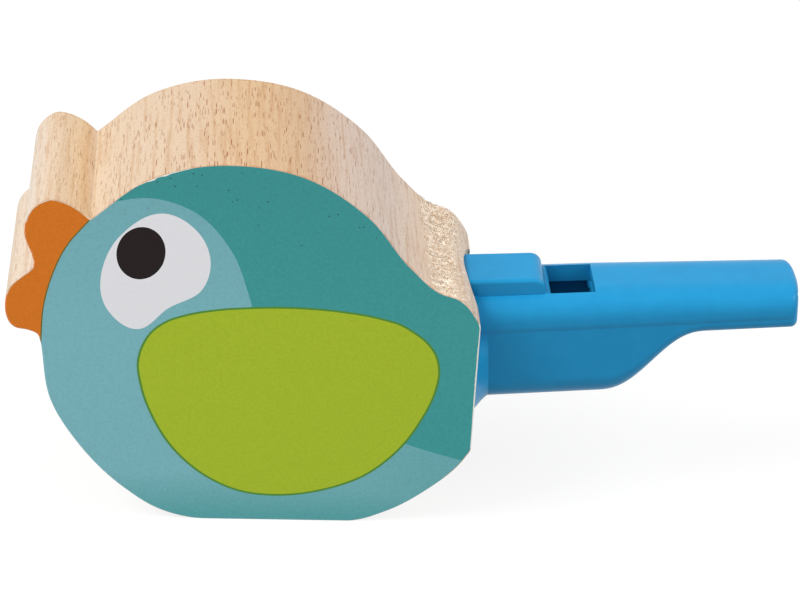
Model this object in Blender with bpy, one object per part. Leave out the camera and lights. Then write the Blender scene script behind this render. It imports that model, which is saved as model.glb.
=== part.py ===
"""Bird whistle: a profile-cut beech bird with printed faces and a moulded
plastic whistle plugged into its tail. Metres, +Z up, beak towards -X,
mouthpiece towards +X, front face towards -Y."""
import math

import bmesh
import bpy
import numpy as np
from mathutils import Matrix, Vector
from mathutils.geometry import delaunay_2d_cdt

for old in list(bpy.data.objects):
    bpy.data.objects.remove(old, do_unlink=True)

MM = 0.001

# Driving dimensions of the wooden bird, in millimetres. Its own zero is
# below the middle of the body, on the flat that it stands on.
BODY_THICKNESS = 29.0
TAIL_END_X = 37.0          # the flat end that the whistle plugs into
EDGE_ROUND = 0.4           # sanded edge
PRINT_RIM = 0.5            # bare wood left round the print, with the edge

# Bore in the tail and what plugs into it.
WHISTLE_RISE = 4.0         # degrees that the whistle points up
WHISTLE_Z = 32.5           # height of the whistle's parting line at the tail end
BORE_RADIUS = 11.0
BORE_DROP = 3.1            # bore axis below the parting line
BORE_DEPTH = 20.0
FIT_GAP = 0.3              # clearance between the plastic and the wood
PLUG_LENGTH = 17.0
PLUG_LIP = 0.5             # how far the plug reaches past the wood's end
PLUG_STEP = 2.9            # recess below the curved top of the tail

# Whistle body, along its own axis from the wood's end.
LENGTH = 51.3
ROOT_HALF_WIDTH = 7.8
MOUTH_HALF_WIDTH = 7.0
CROWN = 4.2                # flat top above the parting line
CROWN_DRAFT = 0.45         # how much lower the top is at the mouth
CROWN_HALF_WIDTH = 3.9
CHAMBER_DEPTH = 14.65      # underside of the chamber below the parting line
MOUTH_DEPTH = 3.2          # underside of the mouthpiece below the parting line
CHAMBER_FOOT = 4.8         # radius of the lower edges at the chamber
MOUTH_FOOT = 2.0           # and at the mouthpiece
CURVE_START = 20.0         # the underside sweeps up between these two
CURVE_END = 38.5
MOUTH_ROUND = 1.0          # rounding of the mouthpiece's end
CREASE = 0.8               # the flank starts this far below the parting line
FLARE_LENGTH = 2.3         # collar that covers the bore
FLARE_HALF_WIDTH = 11.3
FLARE_DROP = 2.1
FLARE_TOP = 3.3            # the collar is widest from here down

# Raised block in front of the window, and the window itself.
HUMP_HEIGHT = 6.45
HUMP_HALF_WIDTH = 4.7
HUMP_NOSE = 2.9            # length of its rounded end
HUMP_EDGE = 0.4
HUMP_SINK = 0.3            # the nose's curve runs on below the flat top
WINDOW_START = 11.7
WINDOW_LENGTH = 7.6
LIP_GAP = 0.3              # flat strip between the nose and the lip
LIP_SLOPE = 0.5            # the lip slopes down this far along the whistle
LIP_DROP = 0.5

# Hollow inside.
WALL = 1.4
FLOOR_WALL = 2.2
CEILING = 1.1
BLOCK_WALL = 1.4
CHAMBER_END = 31.0
THROAT_DEPTH = 10.0        # floor of the passage into the plug, below the parting line
WINDWAY_HALF_WIDTH = 4.2
WINDWAY_HEIGHT = 1.4
SLOT_HALF_WIDTH = 5.0
SLOT_FLOOR = 0.2
SLOT_HEIGHT = 2.4
INNER_SHOULDER = 1.5       # radii of the chamber's upper and lower edges
INNER_FOOT = 3.0
FOOT_SHARE = 0.9           # most of a shallow flank that the lower edge may take
STEP_DRAFT = 0.2           # slope of the steps in the chamber
OVERLAP = 1.0              # how far joined shapes and cutters run into each other

RISE = math.radians(WHISTLE_RISE)
PLUG_RADIUS = BORE_RADIUS - FIT_GAP

# Outline of the bird, clockwise: x, z and, where it matters, the heading in
# degrees. Two corners in a row have a straight run between them.
HEAD_AND_BACK = [
    (-23.4, 54.6, "corner"), (-15.1, 61.4), (-2.6, 64.5, 0), (8.4, 62.8), (18.8, 56.0),
    (25.7, 47.2), (30.6, 42.5), (33.6, 41.6), (36.0, 39.2), (TAIL_END_X, 36.6, -90),
]
TAIL_AND_BELLY = [
    (TAIL_END_X, 14.4, -90), (36.2, 12.7), (30.0, 6.0), (24.2, 2.1), (17.6, 0.0, 180),
    (-5.0, 0.0, 180), (-12.3, 1.7), (-18.1, 5.8), (-25.6, 14.5), (-29.5, 21.9), (-31.0, 32.6, "corner"),
]
BEAK = [
    (-31.5, 34.1), (-32.9, 34.8), (-35.0, 35.3), (-36.4, 38.9, 90), (-35.4, 42.9), (-32.6, 45.7),
    (-32.1, 47.4), (-33.2, 52.3, 90), (-29.1, 57.8, 0), (-26.2, 56.7),
]
BEAK_ARC = [(-31.0, 32.6, "corner"), (-30.5, 39.3), (-29.3, 44.3), (-27.0, 49.8), (-23.4, 54.6, "corner")]

# Printed fields, the same on both faces. Where a field runs over the edge of
# the wood it is drawn past it and ends with the printed area.
HEAD_PATCH = [
    (-40.0, 58.2, "corner"), (-20.5, 57.6, "corner"), (-15.1, 58.5, 0), (-8.1, 56.5), (-1.9, 49.5),
    (0.9, 41.8), (3.0, 34.0), (9.0, 24.5), (26.5, 15.1), (40.0, 10.8, "corner"), (40.0, -5.0, "corner"),
    (-40.0, -5.0, "corner"),
]
EYE_WHITE = [
    (-21.8, 44.4, 84), (-18.9, 51.8), (-12.5, 55.9, 0), (-7.2, 52.9), (-5.1, 46.8), (-6.3, 42.7),
    (-11.4, 39.3), (-16.3, 35.4, 180), (-20.5, 38.4),
]
PUPIL_CENTRE = (-15.7, 48.9)
PUPIL_RADII = (3.7, 4.6)
PUPIL_TILT = 8.0
WING = [
    (-16.0, 29.5, 84), (-13.6, 35.3), (-8.9, 38.1), (1.1, 39.9), (14.5, 39.5), (26.5, 35.9),
    (31.1, 29.0, -90), (26.2, 15.0), (14.2, 6.5), (5.0, 4.9, 180), (-4.9, 8.2), (-13.1, 18.0),
]
WING_LINE = 0.45           # dark overprint round the wing
FIELD_LOOKS = [
    ("beech", "E3C7A4", 0.6), ("beak_orange", "CC722A", 0.5), ("back_teal", "408B8A", 0.5),
    ("belly_teal", "6BA4AC", 0.5), ("wing_edge", "3D5E2A", 0.5), ("wing_lime", "9EB032", 0.5),
    ("eye_white", "D8D7DC", 0.5), ("pupil", "2A1F1E", 0.5),
]

# The whole object stands with its box centred over the origin.
MOUTH_X = TAIL_END_X + LENGTH * math.cos(RISE) + MOUTH_DEPTH * math.sin(RISE)
BEAK_X = min(point[0] for point in BEAK)
CENTRE_X = (MOUTH_X + BEAK_X) / 2
BODY_FRAME = Matrix.Translation(Vector((-CENTRE_X, 0, 0)) * MM)
WHISTLE_FRAME = (Matrix.Translation(Vector((TAIL_END_X - CENTRE_X, 0, WHISTLE_Z)) * MM)
                 @ Matrix.Rotation(-RISE, 4, "Y"))
UPRIGHT = Matrix.Rotation(math.radians(90), 4, "X")
ARC_STEPS = 4              # straight runs along an outline from one point to the next

parts = bpy.data.collections.new("bird_whistle")
cutters = bpy.data.collections.new("cutters")
bpy.context.scene.collection.children.link(parts)
bpy.context.scene.collection.children.link(cutters)


def material(name, hex_colour, roughness):
    """A Principled material from an sRGB colour."""
    made = bpy.data.materials.new(name)
    made.use_nodes = True
    shader = made.node_tree.nodes["Principled BSDF"]
    srgb = np.array([int(hex_colour[i:i + 2], 16) for i in (0, 2, 4)]) / 255
    linear = np.where(srgb <= 0.04045, srgb / 12.92, ((srgb + 0.055) / 1.055) ** 2.4)
    shader.inputs["Base Color"].default_value = (*linear, 1.0)
    shader.inputs["Roughness"].default_value = roughness
    shader.inputs["Metallic"].default_value = 0.0
    made.diffuse_color = (*linear, 1.0)
    return made


def headings(points):
    """Places of a closed outline's points, with the Bezier arms into and out
    of each."""
    place = np.array([point[:2] for point in points], float)
    step = np.roll(place, -1, axis=0) - place
    length = np.linalg.norm(step, axis=1)
    before, after = np.roll(step, 1, axis=0), step
    behind, ahead = np.roll(length, 1), length
    smooth = before / behind[:, None] ** 2 + after / ahead[:, None] ** 2
    arrive, leave = smooth.copy(), smooth.copy()
    for index, point in enumerate(points):
        kind = point[2] if len(point) > 2 else None
        if kind == "corner":
            arrive[index], leave[index] = before[index], after[index]
        elif kind is not None:
            angle = math.radians(kind)
            arrive[index] = leave[index] = (math.cos(angle), math.sin(angle))
    arrive /= np.linalg.norm(arrive, axis=1)[:, None]
    leave /= np.linalg.norm(leave, axis=1)[:, None]
    return place, arrive * behind[:, None] / 3, leave * ahead[:, None] / 3


def trace(points, steps=ARC_STEPS):
    """The closed Bezier outline as a polyline of (x, z)."""
    place, arrive, leave = headings(points)
    after = np.roll(place, -1, axis=0)
    arms = [place, place + leave, after - np.roll(arrive, -1, axis=0), after]
    t = np.linspace(0, 1, steps, endpoint=False)
    weights = [(1 - t) ** 3, 3 * t * (1 - t) ** 2, 3 * t * t * (1 - t), t ** 3]
    line = sum(weight[None, :, None] * arm[:, None, :] for weight, arm in zip(weights, arms))
    return line.reshape(-1, 2)


def sense(line):
    """1 for a closed polyline that runs anticlockwise, -1 for clockwise."""
    x, z = line.T
    return np.sign(np.sum(x * np.roll(z, -1) - z * np.roll(x, -1)))


def outward(line):
    """Mitred outward normals of a closed polyline."""
    ahead = np.roll(line, -1, axis=0) - line
    ahead /= np.linalg.norm(ahead, axis=1)[:, None]
    normal = np.stack([ahead[:, 1], -ahead[:, 0]], axis=1) * sense(line)
    behind = np.roll(normal, 1, axis=0)
    return (normal + behind) / (1 + np.sum(normal * behind, axis=1))[:, None]


def solid(name, work, frame):
    """Turn a finished bmesh, in metres, into an object of the part."""
    bmesh.ops.recalc_face_normals(work, faces=work.faces)
    mesh = bpy.data.meshes.new(name)
    work.to_mesh(mesh)
    work.free()
    piece = bpy.data.objects.new(name, mesh)
    piece.matrix_world = frame
    parts.objects.link(piece)
    return piece


def bridge(work, rings):
    """Faces between rings of as many vertices each."""
    for first, second in zip(rings, rings[1:]):
        for index in range(len(first)):
            following = (index + 1) % len(first)
            work.faces.new((first[index], first[following], second[following], second[index]))


def side_cut(name, corners, half_width, frame, edge=0.0):
    """A straight-sided outline in the X-Z plane, thickened along Y, with its
    rims rounded by edge."""
    curve = bpy.data.curves.new(name, "CURVE")
    curve.dimensions = "2D"
    curve.fill_mode = "BOTH"
    curve.extrude = (half_width - edge) * MM
    curve.bevel_depth = edge * MM
    curve.bevel_resolution = 1
    curve.offset = -edge * MM
    spline = curve.splines.new("POLY")
    spline.points.add(len(corners) - 1)
    spline.use_cyclic_u = True
    for knot, (x, z) in zip(spline.points, corners):
        knot.co = (x * MM, z * MM, 0, 1)
    guide = bpy.data.objects.new(name + "_outline", curve)
    parts.objects.link(guide)
    guide.matrix_world = frame @ UPRIGHT
    bpy.context.view_layer.update()
    evaluated = guide.evaluated_get(bpy.context.evaluated_depsgraph_get())
    work = bmesh.new()
    work.from_mesh(bpy.data.meshes.new_from_object(evaluated))
    bmesh.ops.remove_doubles(work, verts=work.verts, dist=0.0005 * MM)
    bpy.data.objects.remove(guide, do_unlink=True)
    return solid(name, work, frame @ UPRIGHT)


def loft(name, stations, frame):
    """A closed solid through rings of (x, y, z) points, in millimetres."""
    work = bmesh.new()
    rings = [[work.verts.new(Vector(point) * MM) for point in ring] for ring in stations]
    bridge(work, rings)
    work.faces.new(rings[0])
    work.faces.new(rings[-1])
    return solid(name, work, frame)


def box(name, low, high, frame):
    """A block between two corners, in millimetres."""
    work = bmesh.new()
    low, high = Vector(low) * MM, Vector(high) * MM
    place = Matrix.Translation((low + high) / 2) @ Matrix.Diagonal((*(high - low), 1.0))
    bmesh.ops.create_cube(work, size=1.0, matrix=place)
    return solid(name, work, frame)


def rod(name, radius, start, end, drop, frame, lean=0.0, sides=64):
    """A round bar along X whose far end may lean like the wood's end."""
    angle = (np.arange(sides) + 0.5) * 2 * math.pi / sides
    y, z = radius * np.cos(angle), radius * np.sin(angle) - drop
    near = np.stack([np.full(sides, start), y, z], axis=1)
    far = np.stack([end + z * lean, y, z], axis=1)
    return loft(name, [near, far], frame)


def combine(target, tool, operation):
    """Apply one Boolean to the target and drop the tool."""
    step = target.modifiers.new(operation.lower(), "BOOLEAN")
    step.operation = operation
    step.solver = "EXACT"
    step.object = tool
    bpy.context.view_layer.update()
    graph = bpy.context.evaluated_depsgraph_get()
    mesh = bpy.data.meshes.new_from_object(target.evaluated_get(graph))
    target.modifiers.clear()
    target.data = mesh
    bpy.data.objects.remove(tool, do_unlink=True)


def cut(target, tool):
    """Leave the tool as a live cutter of the target."""
    parts.objects.unlink(tool)
    cutters.objects.link(tool)
    tool.hide_render = True
    tool.display_type = "WIRE"
    step = target.modifiers.new(tool.name, "BOOLEAN")
    step.operation = "DIFFERENCE"
    step.solver = "EXACT"
    step.object = tool


def section(half_width, top, bottom, shoulder, foot, side=None, crease=CREASE):
    """Ring of the moulding from the top's right edge round to its left. The
    shoulder is a quarter ellipse from the flat top down to the parting line,
    the flank starts a crease below it and may stand further out by side, and
    the foot is a quarter circle."""
    side = half_width if side is None else side
    turn = np.linspace(0, math.pi / 2, 9)
    width, height = shoulder
    shoulder_y = half_width - width + width * np.sin(turn)
    shoulder_z = top - height + height * np.cos(turn)
    curl = np.linspace(0, math.pi / 2, 7)
    foot_y = side - foot + foot * np.cos(curl)
    foot_z = -bottom + foot - foot * np.sin(curl)
    right_y = np.concatenate([shoulder_y, [side], foot_y])
    right_z = np.concatenate([shoulder_z, [top - height - crease], foot_z])
    y = np.concatenate([right_y, -right_y[::-1]])
    z = np.concatenate([right_z, right_z[::-1]])
    return y, z


def ring_at(x, outline, lean=0.0):
    """Place a section at x along the whistle, leaning like the wood's end."""
    y, z = outline
    return np.stack([x + z * lean, y, z], axis=1)


def sweep(x):
    """0 at the chamber, 1 at the mouthpiece, with no kink at either end."""
    t = min(max((x - CURVE_START) / (CURVE_END - CURVE_START), 0.0), 1.0)
    return t ** 3 * (6 * t * t - 15 * t + 10)


def depth_at(x):
    return CHAMBER_DEPTH + (MOUTH_DEPTH - CHAMBER_DEPTH) * sweep(x)


def half_width_at(x):
    return ROOT_HALF_WIDTH + (MOUTH_HALF_WIDTH - ROOT_HALF_WIDTH) * x / LENGTH


def top_at(x):
    return CROWN - CROWN_DRAFT * max(x - CURVE_START, 0.0) / (LENGTH - CURVE_START)


def outer_section(x, shrink=0.0):
    """The moulding's outside at x, drawn in by shrink at the rounded mouth."""
    foot = CHAMBER_FOOT + (MOUTH_FOOT - CHAMBER_FOOT) * sweep(x)
    width, top = half_width_at(x) - shrink, top_at(x) - shrink
    return section(width, top, depth_at(x) - shrink,
                   (width - CROWN_HALF_WIDTH + shrink, top), foot - shrink)


def inner_section(x, ceiling, floor=None):
    """The hollow at x, down to the moulding's floor unless one is given."""
    floor = depth_at(x + WALL) - FLOOR_WALL if floor is None else floor
    room = floor + ceiling - INNER_SHOULDER
    foot = min(INNER_FOOT, room * FOOT_SHARE)
    return section(half_width_at(x) - WALL, ceiling, floor, (INNER_SHOULDER, INNER_SHOULDER), foot,
                   crease=(room - foot) / 2)


def printed_face():
    """The flat front of the bird divided along its print, as (x, z) points
    and faces with the number of the field that each one shows."""
    outline = trace(HEAD_AND_BACK + TAIL_AND_BELLY + BEAK)
    inward = -outward(outline)
    flat = outline + EDGE_ROUND * inward
    printed = outline + PRINT_RIM * inward

    # The teal stops at the beak's arc and is drawn past the wood elsewhere.
    arc, far = trace(BEAK_ARC)[:1 - ARC_STEPS], 2 * TAIL_END_X
    back = np.concatenate([arc, [(arc[-1][0], far), (far, far), (far, -far), (arc[0][0], -far)]])
    wing = trace(WING)
    tilt = math.radians(PUPIL_TILT)
    turn = np.linspace(0, 2 * math.pi, 32, endpoint=False)
    wide, tall = PUPIL_RADII[0] * np.cos(turn), PUPIL_RADII[1] * np.sin(turn)
    pupil = PUPIL_CENTRE + np.stack([wide * math.cos(tilt) + tall * math.sin(tilt),
                                     tall * math.cos(tilt) - wide * math.sin(tilt)], axis=1)
    fields = [flat, printed, back, trace(HEAD_PATCH), wing + WING_LINE * outward(wing), wing,
              trace(EYE_WHITE), pupil]

    points, loops = [], []
    for field in fields:
        loops.append(list(range(len(points), len(points) + len(field))))
        points += [Vector(point) for point in field[::int(sense(field))]]
    divided, _, faces, _, _, owners = delaunay_2d_cdt(points, [], loops, 1, 1e-3, True)

    # A later field covers the earlier ones, inside the printed area only.
    shown = []
    for corners, owner in zip(faces, owners):
        if 0 in owner:
            if 1 not in owner:
                owner = [0]
            elif 2 not in owner:
                owner = [1]
            shown.append((corners, max(owner)))
    return divided, shown


def wooden_bird():
    """The beech body, cut to the outline, with its fields of print on both
    faces and the bore for the whistle in its tail."""
    points, shown = printed_face()
    around = {edge for corners, _ in shown for edge in zip(corners, corners[1:] + corners[:1])}
    following = {first: second for first, second in around if (second, first) not in around}
    rim = [min(following)]
    while following[rim[-1]] != rim[0]:
        rim.append(following[rim[-1]])
    line = np.array([points[index] for index in rim])
    normal = outward(line)

    half = BODY_THICKNESS / 2
    work = bmesh.new()
    used = {index for corners, _ in shown for index in corners}
    faces = [{index: work.verts.new((points[index][0], y, points[index][1])) for index in used}
             for y in (-half, half)]
    rings = [[faces[0][index] for index in rim]]
    quarter = [(EDGE_ROUND * (1 - math.cos(t)), EDGE_ROUND * math.sin(t)) for t in np.radians([45, 90])]
    for y, grow in [(depth - half, grow) for depth, grow in quarter] + \
                   [(half - depth, grow) for depth, grow in reversed(quarter)]:
        rings.append([work.verts.new((x, y, z)) for x, z in line + grow * normal])
    rings.append([faces[1][index] for index in rim])
    bridge(work, rings)
    for face in faces:
        for corners, field in shown:
            work.faces.new([face[index] for index in corners]).material_index = field
    bmesh.ops.scale(work, verts=work.verts, vec=(MM, MM, MM))
    body = solid("bird_body", work, BODY_FRAME)
    for name, colour, roughness in FIELD_LOOKS:
        body.data.materials.append(material(name, colour, roughness))
    cut(body, rod("bore", BORE_RADIUS, -BORE_DEPTH, BORE_DEPTH, BORE_DROP, WHISTLE_FRAME))
    return body


def plastic_whistle():
    """The moulded whistle: plug, collar, chamber, window, hump and mouthpiece."""
    lean = math.tan(RISE)
    gap = FIT_GAP / math.cos(RISE)
    root = section(ROOT_HALF_WIDTH, CROWN, CHAMBER_DEPTH + FLARE_DROP,
                   (ROOT_HALF_WIDTH - CROWN_HALF_WIDTH, CROWN), CHAMBER_FOOT + FLARE_DROP,
                   side=FLARE_HALF_WIDTH, crease=FLARE_TOP)
    stations = [ring_at(gap, root, lean), ring_at(FLARE_LENGTH, outer_section(FLARE_LENGTH))]
    stations += [ring_at(x, outer_section(x)) for x in np.linspace(CURVE_START, CURVE_END, 15)]
    for turn in np.radians([0, 30, 60, 90]):
        x = LENGTH - MOUTH_ROUND * (1 - math.sin(turn))
        stations.append(ring_at(x, outer_section(x, MOUTH_ROUND * (1 - math.cos(turn)))))
    whistle = loft("whistle", stations, WHISTLE_FRAME)

    plug = rod("plug", PLUG_RADIUS, -PLUG_LENGTH, PLUG_LIP, BORE_DROP, WHISTLE_FRAME, lean)
    step = box("plug_step", (-PLUG_STEP, -BORE_RADIUS, CROWN), (PLUG_STEP, BORE_RADIUS, BORE_RADIUS),
               WHISTLE_FRAME)
    combine(plug, step, "DIFFERENCE")
    combine(whistle, plug, "UNION")

    nose = WINDOW_START - LIP_GAP - HUMP_NOSE
    turn = np.linspace(math.pi / 2, 0, 7)
    foot = CROWN - HUMP_SINK
    end = [(nose + HUMP_NOSE * math.cos(t), foot + (HUMP_HEIGHT - foot) * math.sin(t)) for t in turn]
    inner, base = -PLUG_STEP - OVERLAP, CROWN - OVERLAP
    profile = [(inner, base), (inner, HUMP_HEIGHT)] + end + [(WINDOW_START - LIP_GAP, base)]
    hump = side_cut("hump", profile, HUMP_HALF_WIDTH, WHISTLE_FRAME, HUMP_EDGE)
    combine(whistle, hump, "UNION")

    # The window, with a sloping lip in front of the hump's nose.
    window_end = WINDOW_START + WINDOW_LENGTH
    block, plug_end = CEILING - BLOCK_WALL, -PLUG_STEP - WALL
    deep, above = block - OVERLAP, HUMP_HEIGHT + OVERLAP
    rest = LIP_GAP / 3
    opening = [(WINDOW_START - rest, CROWN + rest * LIP_DROP / LIP_SLOPE), (WINDOW_START - rest, above),
               (window_end, above), (window_end, deep), (WINDOW_START + LIP_SLOPE, deep),
               (WINDOW_START + LIP_SLOPE, CROWN - LIP_DROP)]
    window = side_cut("window", opening, HUMP_HALF_WIDTH, WHISTLE_FRAME)
    cut(whistle, window)

    # The chamber runs under the window and on through the plug.
    runs = [(plug_end - OVERLAP, CEILING, THROAT_DEPTH), (WALL, CEILING, THROAT_DEPTH),
            (WALL + STEP_DRAFT, CEILING), (window_end - 2 * STEP_DRAFT, CEILING)]
    runs += [(x, block) for x in np.linspace(window_end - STEP_DRAFT, CHAMBER_END, 10)]
    hollow = loft("chamber", [ring_at(run[0], inner_section(*run)) for run in runs], WHISTLE_FRAME)
    cut(whistle, hollow)
    inner = rod("plug_hollow", PLUG_RADIUS - WALL, -PLUG_LENGTH - OVERLAP, plug_end, BORE_DROP,
                WHISTLE_FRAME)
    cut(whistle, inner)

    # The windway narrows from the slot at the mouth to the window.
    def slot(x, half, low, height):
        return [(x, half, low + height), (x, -half, low + height), (x, -half, low), (x, half, low)]
    windway = loft("windway", [slot(window_end - OVERLAP, WINDWAY_HALF_WIDTH, CEILING, WINDWAY_HEIGHT),
                               slot(LENGTH + OVERLAP, SLOT_HALF_WIDTH, SLOT_FLOOR, SLOT_HEIGHT)],
                   WHISTLE_FRAME)
    cut(whistle, windway)
    whistle.data.materials.append(material("blue_plastic", "2B8FC6", 0.25))
    return whistle


def shade(piece):
    """Smooth shading with sharp edges kept."""
    piece.data.shade_smooth()
    piece.data.set_sharp_from_angle(angle=math.radians(35))


for finished in (wooden_bird(), plastic_whistle()):
    shade(finished)
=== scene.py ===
# Bird whistle: a beech bird, screen-printed on both faces, with a moulded
# whistle pressed into its tail. Lengths below are in millimetres.
import math

import bmesh
import bpy
import numpy as np
from mathutils import Matrix, Vector
from mathutils.geometry import delaunay_2d_cdt


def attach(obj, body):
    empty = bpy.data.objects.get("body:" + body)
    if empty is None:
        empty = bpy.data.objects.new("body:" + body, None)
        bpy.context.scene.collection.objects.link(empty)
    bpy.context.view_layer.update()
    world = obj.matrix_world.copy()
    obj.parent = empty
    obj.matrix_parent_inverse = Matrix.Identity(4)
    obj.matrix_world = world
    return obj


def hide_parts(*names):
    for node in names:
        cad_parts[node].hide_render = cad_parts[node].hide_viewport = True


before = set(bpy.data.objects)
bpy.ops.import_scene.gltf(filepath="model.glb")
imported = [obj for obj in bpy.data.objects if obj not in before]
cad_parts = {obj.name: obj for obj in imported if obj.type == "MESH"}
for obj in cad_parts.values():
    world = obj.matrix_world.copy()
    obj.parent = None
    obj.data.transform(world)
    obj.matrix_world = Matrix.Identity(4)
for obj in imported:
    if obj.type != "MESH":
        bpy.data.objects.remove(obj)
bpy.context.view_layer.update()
scene = bpy.context.scene
mm = 0.001
print("frame loaded")


def linear(hexColour):
    # sRGB to linear: c / 12.92 below 0.04045, else ((c + 0.055) / 1.055) ^ 2.4
    srgb = np.array([int(hexColour[i:i + 2], 16) for i in (0, 2, 4)]) / 255
    return (*np.where(srgb <= 0.04045, srgb / 12.92, ((srgb + 0.055) / 1.055) ** 2.4), 1.0)


def addNode(tree, kind, inputs=None, stops=None, **settings):
    # One node: settings are its properties, stops fill its ramp, and inputs are
    # values or what feeds them, a node standing for its first live output.
    node = tree.nodes.new("ShaderNode" + kind)
    for key, value in settings.items():
        setattr(node, key, value)
    for key, value in (inputs or {}).items():
        if isinstance(value, bpy.types.Node):
            value = next(output for output in value.outputs if output.enabled)
        if isinstance(value, bpy.types.NodeSocket):
            tree.links.new(value, node.inputs[key])
        else:
            node.inputs[key].default_value = linear(value) if isinstance(value, str) else value
    for index, (position, tone) in enumerate(stops or []):
        elements = node.color_ramp.elements
        element = elements[index] if index < 2 else elements.new(1.0)
        element.position = position
        element.color = linear(tone) if isinstance(tone, str) else (tone, tone, tone, 1.0)
    return node


def newFinish(name, looks):
    # A Principled material with its own roughness, index and specular level;
    # returns it with its tree, its shader and its Object coordinates in mm.
    finish = bpy.data.materials.new(name)
    finish.use_nodes = True
    tree = finish.node_tree
    shader = tree.nodes["Principled BSDF"]
    shader.inputs["Roughness"].default_value = looks["roughness"]
    shader.inputs["IOR"].default_value = looks["ior"]
    shader.inputs["Specular IOR Level"].default_value = looks["specular"]
    place = addNode(tree, "TexCoord").outputs["Object"]
    inMm = addNode(tree, "VectorMath", {0: place, "Scale": 1000.0}, operation="SCALE")
    return finish, tree, shader, inMm


def newObject(name, data):
    made = bpy.data.objects.new(name, data)
    scene.collection.objects.link(made)
    return made


def settle(mesh, frameMatrix=None):
    # loose points dropped, faces turned outwards, and the whole moved by the matrix
    work = bmesh.new()
    work.from_mesh(mesh)
    bmesh.ops.delete(work, geom=[point for point in work.verts if not point.link_faces], context="VERTS")
    bmesh.ops.recalc_face_normals(work, faces=work.faces)
    if frameMatrix is not None:
        work.transform(frameMatrix)
    work.to_mesh(mesh)
    work.free()


def finishPiece(piece, nodeName=None):
    # the one body carries every piece
    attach(piece, "root")
    if nodeName:
        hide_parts(nodeName)


# The bird in the plane of its faces: x, z and, where it matters, the heading
# in degrees. A corner point breaks the curve.
birdShape = {
    "centreX": 25.999,       # the object's middle, from the bird's own zero
    "thickness": 29.0,
    "edgeRound": 0.16,       # sanding at the rims
    "around": 228.7,         # length of the outline
    "step": 0.6, "fineStep": 0.2, "fineFrom": (25.0, 38.0),      # points along it, finer over the torn hump
    "rimLevels": 3, "sideLevels": 124,       # points across each rounded rim and the side between
    "headAndBack": [
        (-23.4, 54.6, "corner"), (-15.1, 61.4), (-2.6, 64.5, 0), (8.4, 62.8), (18.8, 56.0),
        (25.7, 47.3), (30.5, 43.0), (33.4, 41.9), (35.9, 39.2), (37.0, 36.6, -90)],
    "tailAndBelly": [
        (37.0, 14.4, -90), (36.2, 12.7), (30.0, 6.0), (24.2, 2.1), (17.6, 0.0, 180),
        (-5.0, 0.0, 180), (-12.3, 1.7), (-18.1, 5.8), (-25.6, 14.5), (-29.5, 21.9),
        (-31.0, 32.6, "corner")],
    "beak": [
        (-31.5, 34.1), (-32.9, 34.8), (-35.0, 35.3), (-36.4, 38.9, 90), (-35.4, 42.8),
        (-33.8, 44.4), (-32.2, 45.9), (-31.9, 46.7), (-32.1, 47.8), (-33.3, 52.0, 90),
        (-31.7, 56.6), (-29.4, 57.9, 0), (-25.7, 56.6)],
}

printShape = {
    "beakArc": [
        (-31.0, 32.6, "corner"), (-30.5, 39.3), (-29.3, 44.3), (-27.0, 49.8),
        (-23.4, 54.6, "corner")],
    "headPatch": [
        (-40.0, 58.2, "corner"), (-20.5, 57.6, "corner"), (-15.1, 58.5, 0), (-8.1, 56.5),
        (-1.9, 49.5), (0.9, 41.8), (3.0, 34.0), (9.0, 24.5), (26.5, 15.1), (40.0, 10.8, "corner"),
        (40.0, -5.0, "corner"), (-40.0, -5.0, "corner")],
    "eyeWhite": [
        (-21.8, 44.4, 84), (-18.9, 51.8), (-12.5, 55.9, 0), (-7.2, 52.9), (-5.1, 46.8),
        (-6.3, 42.7), (-11.4, 39.3), (-16.3, 35.4, 180), (-20.5, 38.4)],
    "wing": [
        (-16.0, 29.5), (-15.3, 32.5), (-13.8, 35.1), (-11.6, 36.9), (-8.6, 38.1), (-4.0, 39.1), (1.1, 39.6),
        (7.2, 39.8), (15.0, 39.3), (21.2, 38.2), (24.8, 37.0), (26.8, 35.7), (28.8, 34.0), (30.2, 32.0),
        (31.0, 29.0), (30.7, 25.3), (29.9, 22.5), (28.5, 19.2), (26.7, 15.8), (24.1, 12.4), (20.3, 9.0),
        (14.2, 6.2), (7.3, 4.9), (0.3, 5.6), (-4.9, 8.2), (-10.2, 13.3), (-13.7, 19.5), (-15.6, 25.6)],
    "wingLine": 0.36, "beakLine": 0.1,
    "pupilCentre": (-15.7, 48.9), "pupilRadii": (3.7, 4.6), "pupilTilt": 8.0, "pupilPoints": 96,
    "miss": 0.01,            # how far the print stays inside the rim
    # bare slivers where it misses the rim by more: place, reach and width
    "slivers": [((-12.3, 62.4), 4.2, 0.30), ((-30.4, 57.7), 0.9, 0.22), ((37.0, 27.0), 9.0, 0.10)],
    "sliverMean": 0.75,      # their usual share of that width
    # the ink wraps the rim where x and z of its normal are below these, and is rubbed off past this x
    "wrapBelow": (0.7, 0.3), "rubbedPast": 0.95,
}

# Waves in the wood: seed, radians a mm of each set, and height in mm or as a share.
woodWaves = {
    "slivers": (7, (1.3, 3.1, 5.7), 0.3),
    "tears": (21, (3.1, 4.3, 5.9), 0.08),
    "clumps": (9, (1.1, 1.7), 0.4),
    "fray": (12, (9.0, 11.0, 13.0), 0.05),
    "cutter": (3, (1.3, 2.4), 0.012),
    "rawPatches": (5, (2.1, 3.4, 5.2), 0.25),
}

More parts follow.
